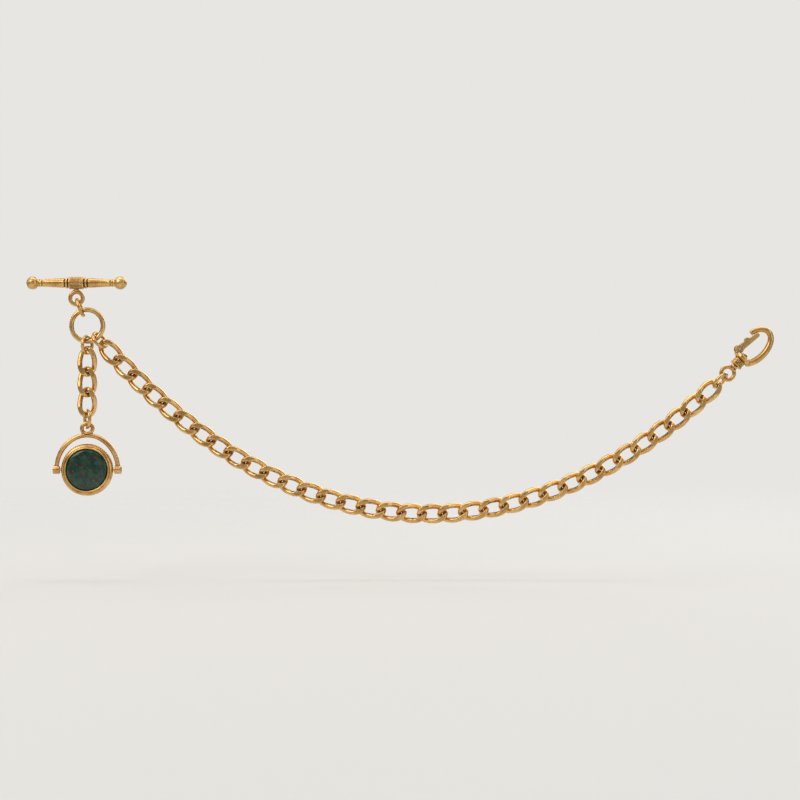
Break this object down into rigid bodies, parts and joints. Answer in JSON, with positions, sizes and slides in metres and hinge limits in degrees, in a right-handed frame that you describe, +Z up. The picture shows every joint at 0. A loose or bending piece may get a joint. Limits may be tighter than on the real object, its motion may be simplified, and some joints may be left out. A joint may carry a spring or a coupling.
{
  "type": "pocket watch chain",
  "caption": "Curb-link pocket watch chain hung as a swag, with a T-bar for the buttonhole, a sprung swivel clasp for the watch, and a short drop carrying a spinner fob.",
  "frame": {"origin": "middle of the flat pad on the back of the T-bar, which bears on the cloth", "axes": "+X runs along the T-bar and across the swag towards the clasp, +Y points back into the cloth, +Z up; the front of the chain faces -Y"},
  "size_m": [0.2651, 0.007, 0.0876],
  "materials": {
    "antique_gold": "polished gold-tone metal, softly worn, darker in the recesses",
    "spring_steel": "plain drawn steel",
    "bloodstone": "polished opaque dark green stone with red flecks, domed",
    "carnelian": "polished opaque orange-red stone, flat"
  },
  "bodies": {
    "t_bar": {"t_bar_eye": "antique_gold", "t_bar_finial_left": "antique_gold", "t_bar_finial_right": "antique_gold", "t_bar_shaft": "antique_gold"},
    "bar_jump_ring": {"bar_jump_ring": "antique_gold"},
    "centre_ring": {"centre_ring": "antique_gold"},
    "clasp_body": {"clasp_body": "antique_gold", "gate_pin": "spring_steel"},
    "clasp_gate": {"clasp_gate": "antique_gold", "gate_spring": "spring_steel"},
    "clasp_jump_ring": {"clasp_jump_ring": "antique_gold"},
    "curb_link_01": {"curb_link_01": "antique_gold"},
    "curb_link_02": {"curb_link_02": "antique_gold"},
    "curb_link_03": {"curb_link_03": "antique_gold"},
    "curb_link_04": {"curb_link_04": "antique_gold"},
    "curb_link_05": {"curb_link_05": "antique_gold"},
    "curb_link_06": {"curb_link_06": "antique_gold"},
    "curb_link_07": {"curb_link_07": "antique_gold"},
    "curb_link_08": {"curb_link_08": "antique_gold"},
    "curb_link_09": {"curb_link_09": "antique_gold"},
    "curb_link_10": {"curb_link_10": "antique_gold"},
    "curb_link_11": {"curb_link_11": "antique_gold"},
    "curb_link_12": {"curb_link_12": "antique_gold"},
    "curb_link_13": {"curb_link_13": "antique_gold"},
    "curb_link_14": {"curb_link_14": "antique_gold"},
    "curb_link_15": {"curb_link_15": "antique_gold"},
    "curb_link_16": {"curb_link_16": "antique_gold"},
    "curb_link_17": {"curb_link_17": "antique_gold"},
    "curb_link_18": {"curb_link_18": "antique_gold"},
    "curb_link_19": {"curb_link_19": "antique_gold"},
    "curb_link_20": {"curb_link_20": "antique_gold"},
    "curb_link_21": {"curb_link_21": "antique_gold"},
    "curb_link_22": {"curb_link_22": "antique_gold"},
    "curb_link_23": {"curb_link_23": "antique_gold"},
    "curb_link_24": {"curb_link_24": "antique_gold"},
    "curb_link_25": {"curb_link_25": "antique_gold"},
    "curb_link_26": {"curb_link_26": "antique_gold"},
    "curb_link_27": {"curb_link_27": "antique_gold"},
    "curb_link_28": {"curb_link_28": "antique_gold"},
    "curb_link_29": {"curb_link_29": "antique_gold"},
    "curb_link_30": {"curb_link_30": "antique_gold"},
    "curb_link_31": {"curb_link_31": "antique_gold"},
    "curb_link_32": {"curb_link_32": "antique_gold"},
    "curb_link_33": {"curb_link_33": "antique_gold"},
    "curb_link_34": {"curb_link_34": "antique_gold"},
    "drop_jump_ring": {"drop_jump_ring": "antique_gold"},
    "drop_link_01": {"drop_link_01": "antique_gold"},
    "drop_link_02": {"drop_link_02": "antique_gold"},
    "drop_link_03": {"drop_link_03": "antique_gold"},
    "fob_jump_ring": {"fob_jump_ring": "antique_gold"},
    "fob_spinner": {"fob_pin_left": "antique_gold", "fob_pin_right": "antique_gold", "fob_rim": "antique_gold", "fob_stone_back": "carnelian", "fob_stone_front": "bloodstone"},
    "fob_yoke": {"fob_yoke": "antique_gold"},
    "swag_jump_ring": {"swag_jump_ring": "antique_gold"},
    "swivel_eye": {"swivel_eye": "antique_gold", "swivel_washer": "antique_gold"}
  },
  "joints": [
    {"name": "centre_ring_swing", "type": "hinge", "parent": "bar_jump_ring", "child": "centre_ring", "pos_m": [0.00176, -0.0019, -0.00987], "axis": [0.9306, 0, 0.3661], "range_deg": [-60, 60]},
    {"name": "clasp_eye_swing", "type": "hinge", "parent": "clasp_jump_ring", "child": "swivel_eye", "pos_m": [0.2293, -0.0019, -0.03367], "axis": [-0.7163, 0, 0.6977], "range_deg": [-60, 60]},
    {"name": "clasp_gate", "type": "hinge", "parent": "clasp_body", "child": "clasp_gate", "pos_m": [0.23489, -0.0019, -0.02349], "axis": [0, 1, 0], "range_deg": [0, 28], "stiffness_Nm_per_rad": 0.004, "springref_deg": -20.05},
    {"name": "clasp_swivel", "type": "hinge", "parent": "swivel_eye", "child": "clasp_body", "pos_m": [0.23363, -0.0019, -0.02923], "axis": [0.6977, 0, 0.7163], "continuous": true},
    {"name": "drop_swing", "type": "hinge", "parent": "centre_ring", "child": "drop_jump_ring", "pos_m": [0.00381, -0.0019, -0.02068], "axis": [1, 0, 0], "range_deg": [-45, 45]},
    {"name": "fob_spin", "type": "hinge", "parent": "fob_yoke", "child": "fob_spinner", "pos_m": [0.00381, -0.0019, -0.06623], "axis": [1, 0, 0], "continuous": true},
    {"name": "fob_swing", "type": "hinge", "parent": "fob_jump_ring", "child": "fob_yoke", "pos_m": [0.00381, -0.0019, -0.05123], "axis": [-0.4226, 0.9063, 0], "range_deg": [-40, 40]},
    {"name": "t_bar_ring_swing", "type": "hinge", "parent": "t_bar", "child": "bar_jump_ring", "pos_m": [0.0002, -0.0019, -0.00591], "axis": [0, 1, 0], "range_deg": [-35, 35]},
    {"name": "swag_swing", "type": "hinge", "parent": "centre_ring", "child": "swag_jump_ring", "pos_m": [0.00745, -0.0019, -0.01933], "axis": [0.7593, 0, 0.6508], "range_deg": [-45, 45]},
    {"name": "ring_clasp_turn", "type": "hinge", "parent": "curb_link_34", "child": "clasp_jump_ring", "pos_m": [0.22744, -0.0019, -0.03549], "axis": [-0.4979, 0.6783, 0.5404], "range_deg": [-45, 45]},
    {"name": "ring_fob_turn", "type": "hinge", "parent": "drop_link_03", "child": "fob_jump_ring", "pos_m": [0.00381, -0.0019, -0.04523], "axis": [0.4226, -0.9063, 0], "range_deg": [-45, 45]},
    {"name": "link_drop_1", "type": "hinge", "parent": "drop_jump_ring", "child": "drop_link_01", "pos_m": [0.00381, -0.0019, -0.02493], "axis": [0.4226, 0.9063, 0], "range_deg": [-30, 30]},
    {"name": "link_drop_2", "type": "hinge", "parent": "drop_link_01", "child": "drop_link_02", "pos_m": [0.00381, -0.0019, -0.03043], "axis": [-0.7348, 0.6783, 0], "range_deg": [-30, 30]},
    {"name": "link_drop_3", "type": "hinge", "parent": "drop_link_02", "child": "drop_link_03", "pos_m": [0.00381, -0.0019, -0.03973], "axis": [-0.7348, -0.6783, 0], "range_deg": [-30, 30]},
    {"name": "link_01_turn", "type": "hinge", "parent": "swag_jump_ring", "child": "curb_link_01", "pos_m": [0.01022, -0.0019, -0.02256], "axis": [0.3209, 0.9063, 0.275], "range_deg": [-30, 30]},
    {"name": "link_02_turn", "type": "hinge", "parent": "curb_link_01", "child": "curb_link_02", "pos_m": [0.01395, -0.0019, -0.0266], "axis": [-0.5261, 0.6783, -0.513], "range_deg": [-30, 30]},
    {"name": "link_03_turn", "type": "hinge", "parent": "curb_link_02", "child": "curb_link_03", "pos_m": [0.02044, -0.0019, -0.03326], "axis": [-0.5261, -0.6783, -0.513], "range_deg": [-30, 30]},
    {"name": "link_04_turn", "type": "hinge", "parent": "curb_link_03", "child": "curb_link_04", "pos_m": [0.02425, -0.0019, -0.03694], "axis": [0.4927, -0.6783, 0.5452], "range_deg": [-30, 30]},
    {"name": "link_05_turn", "type": "hinge", "parent": "curb_link_04", "child": "curb_link_05", "pos_m": [0.03115, -0.0019, -0.04318], "axis": [0.4927, 0.6783, 0.5452], "range_deg": [-30, 30]},
    {"name": "link_06_turn", "type": "hinge", "parent": "curb_link_05", "child": "curb_link_06", "pos_m": [0.0352, -0.0019, -0.0466], "axis": [-0.4527, 0.6783, -0.5788], "range_deg": [-30, 30]},
    {"name": "link_07_turn", "type": "hinge", "parent": "curb_link_06", "child": "curb_link_07", "pos_m": [0.04253, -0.0019, -0.05232], "axis": [-0.4527, -0.6783, -0.5788], "range_deg": [-30, 30]},
    {"name": "link_08_turn", "type": "hinge", "parent": "curb_link_07", "child": "curb_link_08", "pos_m": [0.04683, -0.0019, -0.05543], "axis": [0.4049, -0.6783, 0.6132], "range_deg": [-30, 30]},
    {"name": "link_09_turn", "type": "hinge", "parent": "curb_link_08", "child": "curb_link_09", "pos_m": [0.05459, -0.0019, -0.06055], "axis": [0.4049, 0.6783, 0.6132], "range_deg": [-30, 30]},
    {"name": "link_10_turn", "type": "hinge", "parent": "curb_link_09", "child": "curb_link_10", "pos_m": [0.05914, -0.0019, -0.06328], "axis": [-0.3485, 0.6783, -0.6469], "range_deg": [-30, 30]},
    {"name": "link_11_turn", "type": "hinge", "parent": "curb_link_10", "child": "curb_link_11", "pos_m": [0.06732, -0.0019, -0.06769], "axis": [-0.3485, -0.6783, -0.6469], "range_deg": [-30, 30]},
    {"name": "link_12_turn", "type": "hinge", "parent": "curb_link_11", "child": "curb_link_12", "pos_m": [0.07211, -0.0019, -0.06998], "axis": [0.2829, -0.6783, 0.6782], "range_deg": [-30, 30]},
    {"name": "link_13_turn", "type": "hinge", "parent": "curb_link_12", "child": "curb_link_13", "pos_m": [0.08069, -0.0019, -0.07356], "axis": [0.2829, 0.6783, 0.6782], "range_deg": [-30, 30]},
    {"name": "link_14_turn", "type": "hinge", "parent": "curb_link_13", "child": "curb_link_14", "pos_m": [0.08568, -0.0019, -0.07534], "axis": [-0.2082, 0.6783, -0.7047], "range_deg": [-30, 30]},
    {"name": "link_15_turn", "type": "hinge", "parent": "curb_link_14", "child": "curb_link_15", "pos_m": [0.0946, -0.0019, -0.07798], "axis": [-0.2082, -0.6783, -0.7047], "range_deg": [-30, 30]},
    {"name": "link_16_turn", "type": "hinge", "parent": "curb_link_15", "child": "curb_link_16", "pos_m": [0.09977, -0.0019, -0.07919], "axis": [0.1258, -0.6783, 0.724], "range_deg": [-30, 30]},
    {"name": "link_17_turn", "type": "hinge", "parent": "curb_link_16", "child": "curb_link_17", "pos_m": [0.10893, -0.0019, -0.08078], "axis": [0.1258, 0.6783, 0.724], "range_deg": [-30, 30]},
    {"name": "link_18_turn", "type": "hinge", "parent": "curb_link_17", "child": "curb_link_18", "pos_m": [0.1142, -0.0019, -0.08138], "axis": [-0.0382, 0.6783, -0.7338], "range_deg": [-30, 30]},
    {"name": "link_19_turn", "type": "hinge", "parent": "curb_link_18", "child": "curb_link_19", "pos_m": [0.12349, -0.0019, -0.08186], "axis": [-0.0382, -0.6783, -0.7338], "range_deg": [-30, 30]},
    {"name": "link_20_turn", "type": "hinge", "parent": "curb_link_19", "child": "curb_link_20", "pos_m": [0.12879, -0.0019, -0.08181], "axis": [-0.051, -0.6783, 0.733], "range_deg": [-30, 30]},
    {"name": "link_21_turn", "type": "hinge", "parent": "curb_link_20", "child": "curb_link_21", "pos_m": [0.13807, -0.0019, -0.08117], "axis": [-0.051, 0.6783, 0.733], "range_deg": [-30, 30]},
    {"name": "link_22_turn", "type": "hinge", "parent": "curb_link_21", "child": "curb_link_22", "pos_m": [0.14333, -0.0019, -0.08048], "axis": [0.138, 0.6783, -0.7217], "range_deg": [-30, 30]},
    {"name": "link_23_turn", "type": "hinge", "parent": "curb_link_22", "child": "curb_link_23", "pos_m": [0.15246, -0.0019, -0.07874], "axis": [0.138, -0.6783, -0.7217], "range_deg": [-30, 30]},
    {"name": "link_24_turn", "type": "hinge", "parent": "curb_link_23", "child": "curb_link_24", "pos_m": [0.1576, -0.0019, -0.07744], "axis": [-0.2194, -0.6783, 0.7013], "range_deg": [-30, 30]},
    {"name": "link_25_turn", "type": "hinge", "parent": "curb_link_24", "child": "curb_link_25", "pos_m": [0.16648, -0.0019, -0.07466], "axis": [-0.2194, 0.6783, 0.7013], "range_deg": [-30, 30]},
    {"name": "link_26_turn", "type": "hinge", "parent": "curb_link_25", "child": "curb_link_26", "pos_m": [0.17144, -0.0019, -0.0728], "axis": [0.2929, 0.6783, -0.6739], "range_deg": [-30, 30]},
    {"name": "link_27_turn", "type": "hinge", "parent": "curb_link_26", "child": "curb_link_27", "pos_m": [0.17997, -0.0019, -0.0691], "axis": [0.2929, -0.6783, -0.6739], "range_deg": [-30, 30]},
    {"name": "link_28_turn", "type": "hinge", "parent": "curb_link_27", "child": "curb_link_28", "pos_m": [0.18472, -0.0019, -0.06674], "axis": [-0.3572, -0.6783, 0.6421], "range_deg": [-30, 30]},
    {"name": "link_29_turn", "type": "hinge", "parent": "curb_link_28", "child": "curb_link_29", "pos_m": [0.19285, -0.0019, -0.06222], "axis": [-0.3572, 0.6783, 0.6421], "range_deg": [-30, 30]},
    {"name": "link_30_turn", "type": "hinge", "parent": "curb_link_29", "child": "curb_link_30", "pos_m": [0.19736, -0.0019, -0.05943], "axis": [0.4123, 0.6783, -0.6082], "range_deg": [-30, 30]},
    {"name": "link_31_turn", "type": "hinge", "parent": "curb_link_30", "child": "curb_link_31", "pos_m": [0.20506, -0.0019, -0.05421], "axis": [0.4123, -0.6783, -0.6082], "range_deg": [-30, 30]},
    {"name": "link_32_turn", "type": "hinge", "parent": "curb_link_31", "child": "curb_link_32", "pos_m": [0.20932, -0.0019, -0.05106], "axis": [-0.4589, -0.6783, 0.5739], "range_deg": [-30, 30]},
    {"name": "link_33_turn", "type": "hinge", "parent": "curb_link_32", "child": "curb_link_33", "pos_m": [0.21659, -0.0019, -0.04525], "axis": [-0.4589, 0.6783, 0.5739], "range_deg": [-30, 30]},
    {"name": "link_34_turn", "type": "hinge", "parent": "curb_link_33", "child": "curb_link_34", "pos_m": [0.2206, -0.0019, -0.04179], "axis": [0.4979, 0.6783, -0.5404], "range_deg": [-30, 30]}
  ]
}
